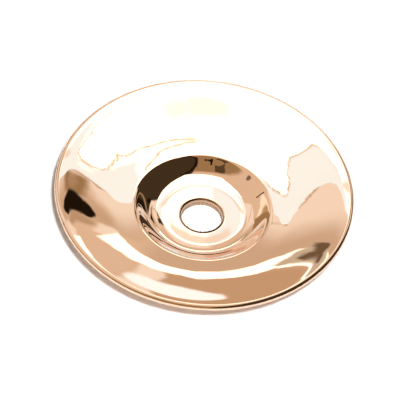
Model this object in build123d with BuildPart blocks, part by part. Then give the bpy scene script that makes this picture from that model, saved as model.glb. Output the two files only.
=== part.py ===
from build123d import *

# Hookah tray: a spun-metal dish that drops over a water pipe's stem and catches ash and embers.
#
# The dish is one spun sheet, deep in the middle, whose edge is curled over a wire. A turned collar
# sits in its centre hole, clinched over the hole's turned-down lip, and holds a soft ring that
# grips the stem. Sizes are in millimetres. The origin is on the axis at the collar's foot, and +Z
# points out of the dish's open side.

import os
from math import cos, radians, sin

# Driving dimensions: the dish
TRAY_RADIUS = 120.0
SHEET = 1.0
WIRE_RADIUS = 1.5
WIRE_CLEARANCE = 0.05
RIM_SLOPE = 23.0  # slope of the brim where it runs into the curl
CURL_SWEEP = 255.0  # how far the sheet wraps the wire, in degrees

# The dish's upper face outside the hole's corner: the radius and the slope, in degrees, at each
# station. Between two stations the face is one arc, so it is smooth from the hole to the rim.
FLOOR_SLOPE = 2.0
STATIONS = [
    (28.0, FLOOR_SLOPE),  # edge of the well's gently sloping floor
    (52.0, 41.0),  # top of the well's wall, its steepest part
    (57.5, 14.5),  # top of the shoulder, where the brim starts
    (104.0, 25.0),  # steepest part of the brim
]

# Driving dimensions: the collar and its grip ring
BORE_RADIUS = 16.6
NECK_WALL = 1.0
HEEL_WALL = 3.0
HEEL_HEIGHT = 4.5
HEEL_CHAMFER = 0.4
CORNER_RADIUS = 1.5  # rounding of the dish's face as it turns down into the hole
CORNER_HEIGHT = 5.5
FLARE_END = 120.0  # direction, in degrees, from the corner's centre to the end of the flare
GROOVE_DEPTH = 1.2
GROOVE_LOW = 1.0
GROOVE_HIGH = 3.8
GRIP_PROUD = 0.4  # how far the ring stands out of the bore's wall
GRIP_CHAMFER = 0.3

# Derived sizes
HOLE_RADIUS = BORE_RADIUS + NECK_WALL
CORNER_CENTRE = (HOLE_RADIUS + CORNER_RADIUS, CORNER_HEIGHT)
FLARE_RADIUS = CORNER_RADIUS + NECK_WALL
CURL_RADIUS = WIRE_RADIUS + SHEET
CURL_CENTRE_RADIUS = TRAY_RADIUS - CURL_RADIUS
RIM_RADIUS = CURL_CENTRE_RADIUS - CURL_RADIUS * sin(radians(RIM_SLOPE))


def polar(centre, radius, degrees):
    """The point at that distance and direction from centre, in the plane of radius and height."""
    across = radius * cos(radians(degrees))
    up = radius * sin(radians(degrees))
    return (centre[0] + across, centre[1] + up)


def arc_rise(width, slope_in, slope_out):
    """How far an arc of that width climbs while its slope goes from slope_in to slope_out."""
    start, end = radians(slope_in), radians(slope_out)
    if slope_in == slope_out:
        return width * sin(start) / cos(start)
    return width * (cos(start) - cos(end)) / (sin(end) - sin(start))


# The stations with their heights, from the top of the hole's corner to the rim
corner_top = polar(CORNER_CENTRE, CORNER_RADIUS, 90 + FLOOR_SLOPE)
face = [(corner_top, FLOOR_SLOPE)]
for radius, slope in STATIONS + [(RIM_RADIUS, RIM_SLOPE)]:
    (last_radius, last_height), last_slope = face[-1]
    height = last_height + arc_rise(radius - last_radius, last_slope, slope)
    face.append(((radius, height), slope))
rim = face[-1][0]
CURL_CENTRE = (CURL_CENTRE_RADIUS, rim[1] - CURL_RADIUS * cos(radians(RIM_SLOPE)))

# The dish: lip of the hole, floor, wall, shoulder, brim and curl, all one thickness of sheet
with BuildPart() as tray_shell:
    with BuildSketch(Plane.XZ):
        with BuildLine():
            corner_foot = polar(CORNER_CENTRE, CORNER_RADIUS, 180)
            Line((HOLE_RADIUS, HEEL_HEIGHT), corner_foot)
            CenterArc(CORNER_CENTRE, CORNER_RADIUS, 180, FLOOR_SLOPE - 90)
            for (start, slope), (end, end_slope) in zip(face, face[1:]):
                if slope == end_slope:
                    Line(start, end)
                else:
                    TangentArc(start, end, tangent=polar((0, 0), 1, slope))
            CenterArc(CURL_CENTRE, CURL_RADIUS, 90 + RIM_SLOPE, -CURL_SWEEP)
            offset(amount=SHEET, side=Side.RIGHT)
        make_face()
    revolve(axis=Axis.Z)

# The wire that the dish's edge is curled over
with BuildPart() as rim_wire:
    with BuildSketch(Plane.XZ):
        with Locations(CURL_CENTRE):
            Circle(WIRE_RADIUS - WIRE_CLEARANCE)
    revolve(axis=Axis.Z)

# The collar: a heel under the hole's lip, a thin neck inside it, and a flare clinched over its
# corner, with a groove inside the heel for the grip ring
with BuildPart() as hub_collar:
    with BuildSketch(Plane.XZ):
        with BuildLine():
            Polyline(
                polar(CORNER_CENTRE, FLARE_RADIUS, 180),
                (BORE_RADIUS, 0),
                (BORE_RADIUS + HEEL_WALL, 0),
                (BORE_RADIUS + HEEL_WALL, HEEL_HEIGHT),
                (HOLE_RADIUS, HEEL_HEIGHT),
                polar(CORNER_CENTRE, CORNER_RADIUS, 180),
            )
            CenterArc(CORNER_CENTRE, CORNER_RADIUS, 180, FLARE_END - 180)
            Line(
                polar(CORNER_CENTRE, CORNER_RADIUS, FLARE_END),
                polar(CORNER_CENTRE, FLARE_RADIUS, FLARE_END),
            )
            CenterArc(CORNER_CENTRE, FLARE_RADIUS, FLARE_END, 180 - FLARE_END)
        make_face()
    revolve(axis=Axis.Z)
    with BuildSketch(Plane.XY.offset(GROOVE_LOW)):
        Circle(BORE_RADIUS + GROOVE_DEPTH)
    extrude(amount=GROOVE_HIGH - GROOVE_LOW, mode=Mode.SUBTRACT)
    heel_rims = hub_collar.edges().filter_by(GeomType.CIRCLE).group_by(SortBy.RADIUS)[-1]
    chamfer(heel_rims, length=HEEL_CHAMFER)

# The soft ring in the collar's groove, standing a little out of the bore so that it grips the stem
with BuildPart() as grip_ring:
    with BuildSketch(Plane.XY.offset(GROOVE_LOW)):
        Circle(BORE_RADIUS + GROOVE_DEPTH)
        Circle(BORE_RADIUS - GRIP_PROUD, mode=Mode.SUBTRACT)
    extrude(amount=GROOVE_HIGH - GROOVE_LOW)
    lip_edges = grip_ring.edges().filter_by(GeomType.CIRCLE).group_by(SortBy.RADIUS)[0]
    chamfer(lip_edges, length=GRIP_CHAMFER)

tray_shell.part.label = "tray_shell"
rim_wire.part.label = "rim_wire"
hub_collar.part.label = "hub_collar"
grip_ring.part.label = "grip_ring"

os.makedirs("parts", exist_ok=True)
export_step(tray_shell.part, "parts/tray_shell.step")
export_step(rim_wire.part, "parts/rim_wire.step")
export_step(hub_collar.part, "parts/hub_collar.step")
export_step(grip_ring.part, "parts/grip_ring.step")
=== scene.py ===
import math

import bmesh
import bpy
from mathutils import Matrix, Vector


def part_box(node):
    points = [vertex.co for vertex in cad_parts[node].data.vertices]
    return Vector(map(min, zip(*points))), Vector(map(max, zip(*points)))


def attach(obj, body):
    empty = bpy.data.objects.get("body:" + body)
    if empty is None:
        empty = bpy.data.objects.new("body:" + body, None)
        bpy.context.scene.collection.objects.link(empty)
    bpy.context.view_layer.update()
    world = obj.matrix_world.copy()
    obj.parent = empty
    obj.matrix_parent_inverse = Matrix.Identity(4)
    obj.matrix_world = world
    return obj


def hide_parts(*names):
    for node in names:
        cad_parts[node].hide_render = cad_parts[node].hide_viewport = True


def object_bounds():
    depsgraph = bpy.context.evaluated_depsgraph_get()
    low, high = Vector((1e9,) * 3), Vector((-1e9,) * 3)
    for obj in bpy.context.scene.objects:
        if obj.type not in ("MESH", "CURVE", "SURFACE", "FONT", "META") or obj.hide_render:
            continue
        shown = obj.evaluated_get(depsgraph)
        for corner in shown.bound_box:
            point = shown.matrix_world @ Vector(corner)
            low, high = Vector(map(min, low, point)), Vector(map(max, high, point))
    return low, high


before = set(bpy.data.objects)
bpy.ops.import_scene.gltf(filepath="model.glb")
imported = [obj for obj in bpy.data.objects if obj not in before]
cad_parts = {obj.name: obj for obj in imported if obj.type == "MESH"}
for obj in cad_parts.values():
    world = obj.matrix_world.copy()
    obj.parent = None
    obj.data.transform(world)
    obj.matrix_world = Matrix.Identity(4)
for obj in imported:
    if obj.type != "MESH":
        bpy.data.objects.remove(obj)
cad_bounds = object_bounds()

# The looks of a mirror-polished, rose-gold hookah tray: one spun dish with a wired edge, a turned
# collar in its centre hole and a soft ring inside the collar. Metres, in the CAD model's frame.

MM = 0.001


# --- Node graphs -------------------------------------------------------------------------------

def add_node(tree, kind, inputs=None, **settings):
    """Adds a node. inputs maps a socket's name or number to a value or to another node's output."""
    node = tree.nodes.new(kind)
    for name, value in settings.items():
        setattr(node, name, value)
    for key, value in (inputs or {}).items():
        if isinstance(value, bpy.types.NodeSocket):
            tree.links.new(value, node.inputs[key])
        else:
            node.inputs[key].default_value = value
    return node


def calc(tree, operation, *values):
    """The output of one Math node."""
    return add_node(tree, "ShaderNodeMath", dict(enumerate(values)), operation=operation).outputs[0]


def fade(tree, value, start, end, low=0.0, high=1.0):
    """low where value is at start, high where it is at end, smooth between them and level outside."""
    inputs = {"Value": value, "From Min": start, "From Max": end, "To Min": low, "To Max": high}
    node = add_node(tree, "ShaderNodeMapRange", inputs, interpolation_type="SMOOTHSTEP")
    return node.outputs["Result"]


def noise(tree, vector, scale, detail=2.0, roughness=0.5):
    """A noise texture's node."""
    inputs = {"Vector": vector, "Scale": scale, "Detail": detail, "Roughness": roughness}
    return add_node(tree, "ShaderNodeTexNoise", inputs)


def mix_colour(tree, factor, below, above):
    """below where factor is 0 and above where it is 1. A colour is a socket or (r, g, b)."""
    colours = [c if isinstance(c, bpy.types.NodeSocket) else (*c, 1.0) for c in (below, above)]
    node = add_node(tree, "ShaderNodeMix", data_type="RGBA")
    for key, value in zip((0, 6, 7), (factor, *colours)):
        if isinstance(value, bpy.types.NodeSocket):
            tree.links.new(value, node.inputs[key])
        else:
            node.inputs[key].default_value = value
    return node.outputs[2]


# --- Studio ------------------------------------------------------------------------------------
# This is not a plain studio. Its shapes and many of its colours were fitted to the reflections in one
# photograph: their numbers are rounded from the output of a program that traced those reflections
# back. They match that one view, and what they stand for in a real room isn't known.
#
# What the polished metal mirrors: a room and, close above the dish, a softbox. A direction into the
# room is given by two angles in degrees: to the right of straight up and beyond it, as on a map of
# the sky with the zenith at its centre and the far side at its top.

class Canvas:
    """Builds up a colour in a node tree, one shape on top of another, over a flat map."""

    def __init__(self, tree, place, ripple, reach):
        """place is the point on the map. ripple, a noise colour, moves it by up to reach, so that no
        edge is ruled."""
        self.tree = tree
        self.at = self.vector("MULTIPLY_ADD", ripple, (2 * reach, 2 * reach, 0.0), place)
        self.at = self.vector("SUBTRACT", self.at, (reach, reach, 0.0))
        self.colour = (0.0, 0.0, 0.0)

    def vector(self, operation, *values):
        node = add_node(self.tree, "ShaderNodeVectorMath", dict(enumerate(values)), operation=operation)
        return node.outputs[1 if operation in ("LENGTH", "DOT_PRODUCT", "DISTANCE") else 0]

    def half(self, start, end, soft=1.0):
        """1 on the left of the line from start to end, 0 on its right."""
        (x0, y0), (x1, y1) = start, end
        length = math.hypot(x1 - x0, y1 - y0)
        across = ((y0 - y1) / length, (x1 - x0) / length, 0.0)
        edge = x0 * across[0] + y0 * across[1]
        reach = self.vector("DOT_PRODUCT", self.at, across)
        return fade(self.tree, reach, edge - soft / 2, edge + soft / 2)

    def both(self, *masks):
        product = masks[0]
        for mask in masks[1:]:
            product = calc(self.tree, "MULTIPLY", product, mask)
        return product

    def polygon(self, corners, soft=1.0):
        """1 inside the convex polygon, whose corners run anticlockwise on the map."""
        return self.both(*(self.half(a, b, soft) for a, b in zip(corners, corners[1:] + corners[:1])))

    def disc(self, centre, radius, stretch=1.0, soft=1.0):
        """1 inside an upright ellipse that is radius wide each way and stretch times as high."""
        offset = self.vector("SUBTRACT", self.at, (*centre, 0.0))
        off = self.vector("LENGTH", self.vector("DIVIDE", offset, (1.0, stretch, 1.0)))
        return fade(self.tree, off, radius + soft / 2, radius - soft / 2)

    def stroke(self, points, half_width, soft=1.0):
        """1 within half_width of the line through the points."""
        nearest = None
        for a, b in zip(points, points[1:]):
            run = (b[0] - a[0], b[1] - a[1], 0.0)
            offset = self.vector("SUBTRACT", self.at, (*a, 0.0))
            share = tuple(r / (run[0] ** 2 + run[1] ** 2) for r in run)
            along = self.vector("DOT_PRODUCT", offset, share)
            along = add_node(self.tree, "ShaderNodeClamp", {0: along}).outputs[0]
            foot = add_node(self.tree, "ShaderNodeVectorMath", {0: run, "Scale": along}, operation="SCALE")
            off = self.vector("DISTANCE", offset, foot.outputs[0])
            nearest = off if nearest is None else calc(self.tree, "MINIMUM", nearest, off)
        return fade(self.tree, nearest, half_width + soft / 2, half_width - soft / 2)

    def paint(self, mask, colour, strength=1.0):
        if strength != 1.0:
            mask = calc(self.tree, "MULTIPLY", mask, strength)
        self.colour = mix_colour(self.tree, mask, self.colour, colour)


# The studio's colours, by how they look in rose gold. The metal takes green and blue away, so the
# ones that look white in it are bluish.
WHITE = (2.3, 2.3, 2.3)
VEIL = (1.04, 1.36, 1.62)
SHEEN = (1.3, 1.45, 1.7)
BLUSH = (0.99, 1.0, 0.98)
CREAM = (1.1, 1.12, 1.0)
PINK = (0.80, 0.69, 0.58)
ROSE = (0.66, 0.56, 0.45)
STONE = (0.62, 0.62, 0.55)
TAN = (0.60, 0.46, 0.32)
OCHRE = (0.56, 0.41, 0.24)
BROWN = (0.36, 0.26, 0.14)
DRAB = (0.17, 0.13, 0.08)
UMBER = (0.055, 0.042, 0.024)
BLACK = (0.014, 0.009, 0.005)


def paint_room(sky):
    """The room: tan on the left, brown toward the camera and dark on the right."""
    sky.paint(1.0, BROWN)
    sky.paint(sky.polygon([(-66, -60), (40, -60), (40, 62), (-66, 62)], 6), PINK)
    sky.paint(sky.half((40, -14), (-60, -22), 8), BROWN)
    sky.paint(sky.polygon([(14, -80), (200, -80), (200, 62), (39, 62), (14, 44)], 2), UMBER)

    # the darkest parts on the right, with one light streak among them
    sky.paint(sky.stroke([(13, -50), (14, -28), (19, -14), (22, -4)], 1.8, 2), BLACK)
    sky.paint(sky.stroke([(41, 38), (50, 40)], 3.5, 4), BLACK)
    sky.paint(sky.disc((54, 54), 9, 0.8, 3), BLACK)
    sky.paint(sky.stroke([(42, 62), (60, 40)], 1.2, 3), TAN, 0.7)

    # a pale arch on the left, over an ochre corner
    sky.paint(sky.polygon([(-90, 34), (-62, 36), (-38, 54), (-38, 75), (-90, 75)], 3), OCHRE)
    sky.paint(sky.stroke([(-62, 20), (-59, 34), (-54, 43), (-46, 49), (-38, 50)], 2.4, 3), CREAM)

    # small dark patches of several shapes
    sky.paint(sky.stroke([(-64, 16.5), (-55, 17.5)], 0.8, 0.8), BLACK)
    sky.paint(sky.disc((-48, -11), 3, 1.0, 2), UMBER, 0.8)
    sky.paint(sky.polygon([(-21, -32), (-9, -32), (-9, -21), (-21, -21)], 1), UMBER, 0.85)
    sky.paint(sky.stroke([(-5, -37), (3, -37)], 1.8, 0.6), BLACK)
    sky.paint(sky.stroke([(-4.5, -36), (-4, -33)], 1.2, 0.6), BLACK)


WALL_SEAMS = [
    [(-36, 30), (-33, 34), (-30, 38), (-25, 41), (-22, 47)],
    [(22.5, 43.5), (26, 42.5), (31, 43.2), (37, 41)],
]


def paint_wall(sky):
    """The wall beyond: pale, then pink, then tan near the table's level."""
    wall = sky.polygon([(43, 36), (43, 100), (-39, 100), (-39, 26)], 3)
    sky.paint(wall, BLUSH)
    sky.paint(sky.both(wall, sky.half((-30, 52), (40, 56), 14)), ROSE)
    sky.paint(sky.half((-60, 73), (60, 73), 3), TAN)
    sky.paint(sky.polygon([(-120, 46), (-42, 46), (-42, 140), (-120, 140)], 5), BROWN)

    # lighter patches, the last of them just above the table
    sky.paint(sky.polygon([(12, 60), (50, 60), (40, 90), (13, 84)], 7), PINK)
    sky.paint(sky.polygon([(7.5, 75), (13.5, 75), (14.5, 83), (7.5, 83)], 2), BLUSH)
    sky.paint(sky.polygon([(-7, 86.8), (4, 84), (15, 81.8), (20, 96), (-7, 96)], 2), SHEEN)

    # a dark patch at the right, with what is round it
    sky.paint(sky.stroke([(37, 47), (26, 57)], 3.0, 6), TAN, 0.8)
    sky.paint(sky.polygon([(21, 60.5), (27, 60), (27, 66), (23, 67)], 2), BLUSH)
    sky.paint(sky.stroke([(35.5, 44), (35, 50)], 1.5, 3), BROWN)
    sky.paint(sky.polygon([(28.5, 57.5), (31, 54.0), (37, 49), (38, 60), (29.5, 60.3)], 1), BLACK)
    sky.paint(sky.stroke([(29, 62.5), (32, 61.5)], 1.5, 2.5), BROWN, 0.6)
    for points in WALL_SEAMS:
        sky.paint(sky.stroke(points, 0.5, 0.9), TAN, 0.9)


def paint_gap(sky):
    """What shows just past the softbox's far edge: pink, pale in the middle, a stripe at the right."""
    gap = sky.both(sky.disc((0, 40), 20, 1.27, 2), sky.half((-60, 38), (60, 38), 2))
    sky.paint(gap, PINK)
    sky.paint(sky.both(gap, sky.polygon([(0, 40), (11, 46), (8, 62), (-4, 58)], 2)), BLUSH)
    sky.paint(sky.both(gap, sky.polygon([(1, 41), (30, 30), (30, 46), (12, 46)], 2)), BROWN)
    sky.paint(sky.both(gap, sky.stroke([(11, 46), (20, 50)], 1.8, 1.5)), UMBER)


def paint_strip(sky):
    """The bright strip low on the far wall: wide at its right end, with a drab patch at its left."""
    strip = [(-27, 66), (-19, 68.5), (-10, 71.5), (0, 74.2), (10, 72.7), (19, 69)]
    wide_end = [(21.5, 61.5), (25, 68.5), (16, 74.5), (11, 74), (12, 69.8)]
    fixing = [(-31, 61), (-26, 63.5), (-18.5, 69.5), (-20, 71), (-27, 69.8), (-32, 67)]
    sky.paint(sky.stroke(strip, 3.0, 1.2), WHITE)
    sky.paint(sky.polygon(wide_end, 1.5), WHITE)
    sky.paint(sky.polygon(fixing, 1.5), STONE)
    sky.paint(sky.stroke([(-31, 61.5), (-29, 65.5), (-26, 68)], 1.0, 1.5), DRAB)
    sky.paint(sky.stroke([(-20.5, 71.6), (-26.5, 70.8)], 0.6, 1.2), WHITE)


# The softbox: a small white diffuser hung level over the dish. Its map is its own plane, in
# millimetres to the right of the dish's axis and beyond it.
BOX_HEIGHT = 200.0
BOX_REACH = 220.0  # half the width of the sheet that holds it
BOX_OUTLINE = [(-32, 20), (48, 20), (62, 70), (66, 120), (62, 181), (-28, 192), (-40, 150), (-44, 100)]
BOX_SEAMS = [
    [(-60, 113), (-21, 110), (-18, 150)],
    [(-41, 147), (-38, 165), (-28, 192)],
    [(4, 104), (16, 117), (21, 125), (27, 133), (36, 148), (49, 165)],
]


def paint_softbox(box):
    """The diffuser's face: white, thinner at its left and far sides, with seams between."""
    box.paint(1.0, WHITE)
    box.paint(box.polygon([(-70, 113), (-21, 110), (-18, 150), (-18, 210), (-70, 210)], 2), VEIL)
    box.paint(box.polygon([(4, 103), (21, 124), (36, 147), (66, 172), (66, 195), (4, 195)], 4), VEIL)
    box.paint(box.stroke([(-14, 155), (13, 155)], 4.5, 4), BLUSH, 0.9)
    box.paint(box.stroke([(8, 87), (-2, 84)], 1.7, 1.2), CREAM, 0.4)
    for points in BOX_SEAMS:
        box.paint(box.stroke(points, 0.6, 1.2), TAN, 0.8)


# Light that reaches the metal by way of an earlier reflection is cooled, and then held under a limit.
LATER_TINT = (1.1, 1.35, 1.7)
LATER_LIMIT = (0.95, 1.5, 2.1)


def lit(tree, colour):
    """The colour as the metal gets it, at its first reflection or at a later one."""
    cooled = add_node(tree, "ShaderNodeVectorMath", {0: colour, 1: LATER_TINT}, operation="MULTIPLY")
    inputs = {0: cooled.outputs[0], 1: LATER_LIMIT}
    held = add_node(tree, "ShaderNodeVectorMath", inputs, operation="MINIMUM")
    depth = add_node(tree, "ShaderNodeLightPath").outputs["Glossy Depth"]
    return mix_colour(tree, calc(tree, "GREATER_THAN", depth, 1.5), colour, held.outputs[0])


def softbox_material():
    material = bpy.data.materials.new("softbox")
    material.use_nodes = True
    tree = material.node_tree
    tree.nodes.clear()
    place = add_node(tree, "ShaderNodeTexCoord").outputs["Object"]
    inputs = {0: place, "Scale": 1.0 / MM}
    place = add_node(tree, "ShaderNodeVectorMath", inputs, operation="SCALE").outputs[0]
    canvas = Canvas(tree, place, noise(tree, place, 0.06, 4.0, 0.68).outputs["Color"], 7.0)
    paint_softbox(canvas)
    glow = add_node(tree, "ShaderNodeEmission", {0: lit(tree, canvas.colour)})
    clear = add_node(tree, "ShaderNodeBsdfTransparent")
    inputs = {0: canvas.polygon(BOX_OUTLINE, 1.5), 1: clear.outputs[0], 2: glow.outputs[0]}
    shown = add_node(tree, "ShaderNodeMixShader", inputs)
    add_node(tree, "ShaderNodeOutputMaterial", {"Surface": shown.outputs[0]})
    return material


def make_softbox():
    """A flat light that only the metal sees."""
    mesh = bpy.data.meshes.new("softbox")
    side = BOX_REACH * MM
    corners = [(-side, -side, 0), (side, -side, 0), (side, side, 0), (-side, side, 0)]
    mesh.from_pydata(corners, [], [(0, 1, 2, 3)])
    mesh.materials.append(softbox_material())
    box = bpy.data.objects.new("softbox", mesh)
    box.location.z = BOX_HEIGHT * MM
    bpy.context.scene.collection.objects.link(box)
    for ray in ("camera", "diffuse", "shadow", "transmission", "volume_scatter"):
        setattr(box, "visible_" + ray, False)


def make_world():
    """The room as the metal sees it. The camera itself sees plain white."""
    world = bpy.data.worlds.new("studio")
    bpy.context.scene.world = world
    world.cycles_visibility.diffuse = False
    world.use_nodes = True
    tree = world.node_tree
    tree.nodes.clear()
    direction = add_node(tree, "ShaderNodeTexCoord").outputs["Generated"]
    x, y, z = add_node(tree, "ShaderNodeSeparateXYZ", {0: direction}).outputs
    level = add_node(tree, "ShaderNodeCombineXYZ", {0: x, 1: y}).outputs[0]
    length = add_node(tree, "ShaderNodeVectorMath", {0: level}, operation="LENGTH").outputs["Value"]
    angle = calc(tree, "DEGREES", calc(tree, "ARCCOSINE", z))
    spread = calc(tree, "DIVIDE", angle, calc(tree, "MAXIMUM", length, 1e-4))
    inputs = {0: level, "Scale": spread}
    angles = add_node(tree, "ShaderNodeVectorMath", inputs, operation="SCALE").outputs[0]
    sky = Canvas(tree, angles, noise(tree, direction, 9.0, 4.0, 0.6).outputs["Color"], 1.8)
    for paint_part in (paint_room, paint_wall, paint_gap, paint_strip):
        paint_part(sky)
    studio = add_node(tree, "ShaderNodeBackground", {"Color": lit(tree, sky.colour)})
    plain = add_node(tree, "ShaderNodeBackground", {"Color": (1.0, 1.0, 1.0, 1.0)})
    camera_ray = add_node(tree, "ShaderNodeLightPath").outputs["Is Camera Ray"]
    inputs = {0: camera_ray, 1: studio.outputs[0], 2: plain.outputs[0]}
    shown = add_node(tree, "ShaderNodeMixShader", inputs)
    add_node(tree, "ShaderNodeOutputWorld", {"Surface": shown.outputs[0]})


# --- Dish --------------------------------------------------------------------------------------

TRAY_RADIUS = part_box("tray_shell")[1].x
SCALE = TRAY_RADIUS / 0.120  # 1 for a dish of 240 mm
SHEET = 1.0 * MM
CURL_RADIUS = 2.5 * MM
CORNER_RADIUS = 1.5 * MM
CORNER_RISE = 1.0 * MM  # from the lip's foot to the centre of the corner above it
FACE_STEP = 0.6 * MM

# The sheet's upper face: distance from the axis in millimetres for a dish of 240 mm, and slope in
# degrees. The slope turns smoothly from one station to the next. The slopes follow the result of a
# fitting program, rounded; they weren't chosen by hand.
STATIONS = [
    (28.0, 2.0),  # edge of the well's floor
    (38.0, 15.4),
    (46.0, 33.8),
    (52.3, 39.0),  # the well's wall, at its steepest
    (57.5, 15.0),  # top of the shoulder, where the brim starts
    (66.0, 15.2),
    (80.0, 19.6),
    (95.0, 23.6),
    (108.0, 25.4),  # the brim, at its steepest
]
FLOOR_SLOPE = STATIONS[0][1]
RIM_SLOPE = 22.6
CURL_SWEEP = 255.0  # how far the sheet wraps the wire

SEGMENTS = 320
CORNER_STEPS = 12
CURL_STEPS = 64
INNER_CURL_STEPS = 48
TIP_STEPS = 8


def polar(centre, radius, degrees):
    a = math.radians(degrees)
    return (centre[0] + radius * math.cos(a), centre[1] + radius * math.sin(a))


def arc(centre, radius, start, sweep, steps):
    """Points from the direction start round by sweep, in degrees."""
    return [polar(centre, radius, start + sweep * t / steps) for t in range(steps + 1)]


def smooth_rates(points):
    """The rate of change at each (x, y) point of a smooth curve through them, level where it turns."""
    steps = [(y1 - y0) / (x1 - x0) for (x0, y0), (x1, y1) in zip(points, points[1:])]
    middle = [0.0 if a * b <= 0 else 2 * a * b / (a + b) for a, b in zip(steps, steps[1:])]
    return [0.0] + middle + [0.0]


def dish_face(first, last):
    """Points (radius, height, slope) up the dish's face, from the hole's corner to the rim."""
    stations = [(r * MM * SCALE, slope) for r, slope in STATIONS]
    stations = [(first[0], FLOOR_SLOPE)] + stations + [(last[0], RIM_SLOPE)]
    rates = smooth_rates(stations)
    points = [(first[0], 0.0, FLOOR_SLOPE)]
    for (r0, s0), (r1, s1), rate0, rate1 in zip(stations, stations[1:], rates, rates[1:]):
        count = max(4, round((r1 - r0) / FACE_STEP))
        for step in range(1, count + 1):
            t = step / count
            slope = s0 * (1 + 2 * t) * (1 - t) ** 2 + s1 * t * t * (3 - 2 * t)
            slope += (r1 - r0) * (rate0 * t * (1 - t) ** 2 - rate1 * t * t * (1 - t))
            radius = r0 + (r1 - r0) * t
            last_radius, height, last_slope = points[-1]
            middle = math.radians((slope + last_slope) / 2)
            points.append((radius, height + (radius - last_radius) * math.tan(middle), slope))
    stretch = (last[1] - first[1]) / points[-1][1]
    return [(r, first[1] + z * stretch, slope) for r, z, slope in points]


def under(point, depth):
    """The point that lies depth straight under a (radius, height, slope) point of the face."""
    radius, height, slope = point
    return polar((radius, height), depth, slope - 90)


def dish_outline():
    """The sheet's closed outline, in the plane of radius and height, from the hole's lip outward
    along the lower face, round the curl and back along the upper face."""
    low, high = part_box("tray_shell")
    hole_radius = min(v.co.xy.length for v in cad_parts["tray_shell"].data.vertices)
    corner = (hole_radius + CORNER_RADIUS, low.z + CORNER_RISE)
    curl_centre = (TRAY_RADIUS - CURL_RADIUS, high.z - CURL_RADIUS)
    rim = 90 + RIM_SLOPE
    face = dish_face(polar(corner, CORNER_RADIUS, 90 + FLOOR_SLOPE), polar(curl_centre, CURL_RADIUS, rim))

    inner_corner = arc(corner, CORNER_RADIUS - SHEET, 180, FLOOR_SLOPE - 90, CORNER_STEPS // 2)
    lower = [(hole_radius + SHEET, low.z), (hole_radius + SHEET, corner[1])] + inner_corner[1:-1]
    lower += [under(point, SHEET) for point in face]
    lower += arc(curl_centre, CURL_RADIUS - SHEET, rim, -CURL_SWEEP, INNER_CURL_STEPS)[1:]

    end = rim - CURL_SWEEP
    tip_centre = polar(curl_centre, CURL_RADIUS - SHEET / 2, end)
    tip = arc(tip_centre, SHEET / 2, end + 180, -180, TIP_STEPS)[1:-1]

    upper = arc(curl_centre, CURL_RADIUS, end, CURL_SWEEP, CURL_STEPS)
    upper += [(radius, height) for radius, height, slope in reversed(face[:-1])]
    upper += arc(corner, CORNER_RADIUS, 90 + FLOOR_SLOPE, 90 - FLOOR_SLOPE, CORNER_STEPS)[1:]
    upper += [(hole_radius, low.z)]
    return lower + tip + upper


def revolve(name, outline):
    """A body of revolution about Z, from a closed outline of (radius, height) points."""
    bm = bmesh.new()
    rings = []
    for step in range(SEGMENTS):
        turn = 2 * math.pi * step / SEGMENTS
        c, s = math.cos(turn), math.sin(turn)
        rings.append([bm.verts.new((r * c, r * s, z)) for r, z in outline])
    count = len(outline)
    for ring, following in zip(rings, rings[1:] + rings[:1]):
        for i in range(count):
            j = (i + 1) % count
            bm.faces.new((ring[i], following[i], following[j], ring[j]))
    bmesh.ops.recalc_face_normals(bm, faces=bm.faces)
    mesh = bpy.data.meshes.new(name)
    bm.to_mesh(mesh)
    bm.free()
    mesh.shade_smooth()
    piece = bpy.data.objects.new(name, mesh)
    bpy.context.scene.collection.objects.link(piece)
    return piece


# --- Materials ---------------------------------------------------------------------------------

def new_material(name):
    """The material, its node tree, its shader and the place on the object that its texture follows."""
    material = bpy.data.materials.new(name)
    material.use_nodes = True
    tree = material.node_tree
    place = add_node(tree, "ShaderNodeTexCoord").outputs["Object"]
    return material, tree, tree.nodes["Principled BSDF"], place


ROSE_GOLD = ((0.95, 0.66, 0.48), (0.94, 0.645, 0.465))
# The collar's tones are darker than the dish's so that the hole's edge shows as a dark line: painted
# shade.
SHADED_COLLAR_GOLD = ((0.55, 0.37, 0.24), (0.48, 0.31, 0.20))


def polished_gold(name, tones):
    """A mirror finish in two close tones, with faint haze and the slow waves of a spun sheet."""
    material, tree, shader, place = new_material(name)
    clouds = noise(tree, place, 18.0, 3.0).outputs["Fac"]
    colour = mix_colour(tree, fade(tree, clouds, 0.3, 0.7), *tones)
    tree.links.new(colour, shader.inputs["Base Color"])
    haze = noise(tree, place, 60.0, 4.0).outputs["Fac"]
    tree.links.new(fade(tree, haze, 0.3, 0.8, 0.012, 0.035), shader.inputs["Roughness"])
    shader.inputs["Metallic"].default_value = 1.0
    waves = noise(tree, place, 22.0, 1.0).outputs["Fac"]
    bump = add_node(tree, "ShaderNodeBump", {"Height": waves, "Strength": 0.25, "Distance": 0.0006})
    tree.links.new(bump.outputs[0], shader.inputs["Normal"])
    return material


def brown_silicone():
    material, tree, shader, place = new_material("brown_silicone")
    specks = noise(tree, place, 900.0, 3.0).outputs["Fac"]
    colour = mix_colour(tree, specks, (0.30, 0.19, 0.12), (0.40, 0.26, 0.17))
    tree.links.new(colour, shader.inputs["Base Color"])
    shader.inputs["Roughness"].default_value = 0.55
    bump = add_node(tree, "ShaderNodeBump", {"Height": specks, "Strength": 0.3, "Distance": 0.0001})
    tree.links.new(bump.outputs[0], shader.inputs["Normal"])
    return material


def drawn_steel():
    material, tree, shader, place = new_material("drawn_steel")
    streaks = noise(tree, place, 400.0, 4.0).outputs["Fac"]
    colour = mix_colour(tree, streaks, (0.50, 0.50, 0.51), (0.60, 0.60, 0.60))
    tree.links.new(colour, shader.inputs["Base Color"])
    shader.inputs["Metallic"].default_value = 1.0
    tree.links.new(fade(tree, streaks, 0.2, 0.8, 0.3, 0.45), shader.inputs["Roughness"])
    return material


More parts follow.
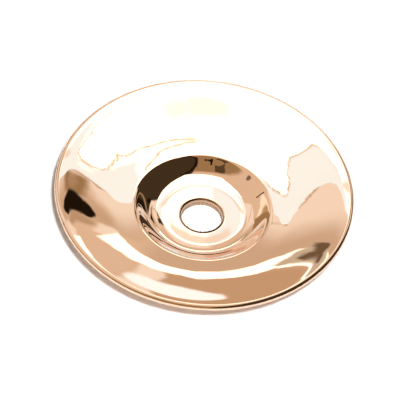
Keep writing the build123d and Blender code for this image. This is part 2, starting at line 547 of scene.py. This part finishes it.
def white_table():
    material, tree, shader, place = new_material("white_table")
    mottle = noise(tree, place, 30.0, 4.0).outputs["Fac"]
    colour = mix_colour(tree, mottle, (0.90, 0.90, 0.90), (0.93, 0.93, 0.93))
    tree.links.new(colour, shader.inputs["Base Color"])
    shader.inputs["Roughness"].default_value = 0.6
    return material


# --- Pieces ------------------------------------------------------------------------------------

TABLE_WIDTH = 6.0

dish = revolve("spun_dish", dish_outline())
dish.data.materials.append(polished_gold("polished_rose_gold", ROSE_GOLD))
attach(dish, "root")
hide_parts("tray_shell")

carried_over = {
    "rim_wire": drawn_steel(),
    # the collar in the darker gold: painted shade along the hole's edge
    "hub_collar": polished_gold("collar_gold_shaded", SHADED_COLLAR_GOLD),
    "grip_ring": brown_silicone(),
}
for node, material in carried_over.items():
    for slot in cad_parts[node].material_slots:
        slot.material = material

bpy.ops.mesh.primitive_plane_add(size=TABLE_WIDTH, location=(0, 0, 0))
table = bpy.context.object
table.name = "table_top"
table.data.materials.append(white_table())

make_world()
make_softbox()


# --- Light and camera --------------------------------------------------------------------------

ELEVATION = math.radians(49.6)
ROLL = math.radians(6.5)
DISTANCE = 12.0  # from the rim's centre, in the dish's radii
OFFSET = (-0.024, -0.075)  # of the camera, to the right and up, in the dish's radii
SENSOR = 36.0
DISH_SHARE = 0.75  # how much of the picture's width the dish takes
FILL_STRENGTH = 0.42
KEY_STRENGTH = 54.0
KEY_PLACE = (0.07, 0.13)  # from the camera, to the right and up, in metres
KEY_RADIUS = 0.045

back = Vector((0, -math.cos(ELEVATION), math.sin(ELEVATION)))
right = Vector((1, 0, 0))
up = back.cross(right)


def add_lamp(name, kind, place, direction, strength):
    """A lamp that isn't mirrored in the metal."""
    lamp = bpy.data.lights.new(name, kind)
    lamp.energy = strength
    holder = bpy.data.objects.new(name, lamp)
    holder.location = place
    holder.rotation_mode = "QUATERNION"
    holder.rotation_quaternion = direction.to_track_quat("Z", "Y")
    holder.visible_glossy = False
    bpy.context.scene.collection.objects.link(holder)
    return lamp


def camera_place():
    rim_centre = Vector((0, 0, cad_bounds[1].z - CURL_RADIUS))
    return rim_centre + (back * DISTANCE + right * OFFSET[0] + up * OFFSET[1]) * TRAY_RADIUS


def add_camera():
    camera_data = bpy.data.cameras.new("camera")
    camera_data.sensor_width = SENSOR
    camera_data.lens = SENSOR * DISTANCE * DISH_SHARE / 2
    camera_data.clip_start = 0.01
    camera = bpy.data.objects.new("camera", camera_data)
    side = math.cos(ROLL) * right + math.sin(ROLL) * up
    over = -math.sin(ROLL) * right + math.cos(ROLL) * up
    turn = Matrix((side, over, back)).transposed().to_4x4()
    camera.matrix_world = Matrix.Translation(camera_place()) @ turn
    bpy.context.scene.collection.objects.link(camera)
    bpy.context.scene.camera = camera


def light_scene():
    """A weak fill from straight above and a key close beside the camera, equally strong everywhere."""
    fill = add_lamp("fill", "SUN", (0, 0, 2), Vector((0, 0, 1)), FILL_STRENGTH)
    fill.use_shadow = False
    key_place = camera_place() + right * KEY_PLACE[0] + up * KEY_PLACE[1]
    key = add_lamp("key", "POINT", key_place, back, 1.0)
    key.shadow_soft_size = KEY_RADIUS
    key.use_nodes = True
    tree = key.node_tree
    falloff = add_node(tree, "ShaderNodeLightFalloff", {"Strength": KEY_STRENGTH}).outputs["Constant"]
    tree.links.new(falloff, tree.nodes["Emission"].inputs["Strength"])


add_camera()
light_scene()
bpy.context.scene.view_settings.view_transform = "Standard"
